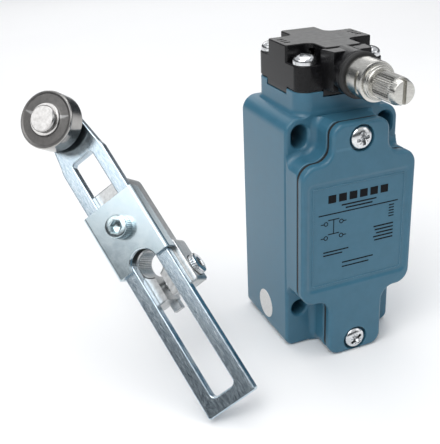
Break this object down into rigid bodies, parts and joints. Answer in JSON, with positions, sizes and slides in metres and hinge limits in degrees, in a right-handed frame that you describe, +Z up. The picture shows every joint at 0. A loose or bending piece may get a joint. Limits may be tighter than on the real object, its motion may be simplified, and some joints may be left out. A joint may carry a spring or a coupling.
{
  "type": "limit switch",
  "caption": "Side-rotary limit switch with a die-cast housing, turning head and serrated shaft, and its detached adjustable roller lever beside it.",
  "frame": {"origin": "centre of the four fixing holes, on the flat mounting back of the housing", "axes": "+Z up through the rotary head, -Y the way the cover and the shaft face, +X to the right seen from the front"},
  "size_m": [0.1108, 0.086, 0.1006],
  "materials": {
    "blue_paint": "semi-gloss powder coat on die casting",
    "black_paint": "satin black coat on die casting",
    "rubber": "matt nitrile",
    "bright_zinc": "bright zinc plate",
    "stainless": "turned stainless steel",
    "spring_steel": "drawn wire",
    "brass": "rolled",
    "ivory_plastic": "moulded",
    "grey_plastic": "moulded",
    "green_zinc": "green passivated",
    "sticker": "printed film",
    "cast_zinc": "as-cast zinc alloy",
    "zinc_plate": "blue passivated zinc plate",
    "dark_steel": "oiled steel",
    "roller_steel": "ground sintered steel"
  },
  "bodies": {
    "root": {"housing": "blue_paint", "cover_gasket": "rubber", "head": "black_paint", "head_gasket": "rubber", "head_screws": "bright_zinc", "shaft_bush": "stainless", "shaft_seal": "rubber", "plunger_guide": "brass", "return_spring": "spring_steel", "contact_base": "ivory_plastic", "contact_lid": "grey_plastic", "fixed_contacts": "brass", "terminal_clamps": "bright_zinc", "terminal_screws": "bright_zinc", "block_screws": "bright_zinc", "ground_screw": "green_zinc", "carriage_spring": "spring_steel", "inspection_sticker": "sticker"},
    "cover_body": {"cover": "blue_paint", "cover_screws": "bright_zinc"},
    "shaft_body": {"shaft": "stainless", "thrust_collar": "stainless", "retaining_ring": "spring_steel", "cam": "stainless"},
    "plunger_body": {"plunger": "stainless"},
    "carriage_body": {"contact_carriage": "grey_plastic", "contact_bridge": "brass", "contact_spring": "spring_steel"},
    "hub_body": {"lever_hub": "cast_zinc", "clamp_screw": "bright_zinc", "clamp_nut": "bright_zinc", "clamp_bracket": "zinc_plate", "bracket_screw": "bright_zinc"},
    "arm_body": {"lever_arm": "zinc_plate", "roller_pin": "stainless", "roller_washer": "dark_steel"},
    "roller_body": {"roller": "roller_steel", "roller_bush": "brass"}
  },
  "joints": [
    {"name": "shaft_turn", "type": "hinge", "parent": "root", "child": "shaft_body", "pos_m": [0, -0.03, 0.0493], "axis": [0, -1, 0], "range_deg": [-75, 75], "stiffness_Nm_per_rad": 0.02},
    {"name": "plunger_slide", "type": "slide", "parent": "root", "child": "plunger_body", "axis": [0, 0, -1], "range_m": [0, 0.0026], "stiffness_N_per_m": 400, "springref_m": -0.002, "deforming": ["return_spring"]},
    {"name": "carriage_slide", "type": "slide", "parent": "root", "child": "carriage_body", "axis": [0, 0, -1], "range_m": [0, 0.0026], "deforming": ["carriage_spring"]},
    {"name": "cover_removal", "type": "slide", "parent": "root", "child": "cover_body", "axis": [0, -1, 0], "range_m": [0, 0.03]},
    {"name": "lever_removal", "type": "slide", "parent": "root", "child": "hub_body", "axis": [-0.6079, -0.6366, 0.4745], "range_m": [0, 0.03]},
    {"name": "arm_extension", "type": "slide", "parent": "hub_body", "child": "arm_body", "axis": [-0.2537, 0.722, 0.6437], "range_m": [-0.0248, 0.0336]},
    {"name": "roller_spin", "type": "hinge", "parent": "arm_body", "child": "roller_body", "pos_m": [-0.08118, 0.01303, 0.03254], "axis": [-0.6079, -0.6366, 0.4745], "continuous": true}
  ],
  "couplings": [
    {"joint": "carriage_slide", "follows": "plunger_slide", "ratio": 1}
  ]
}
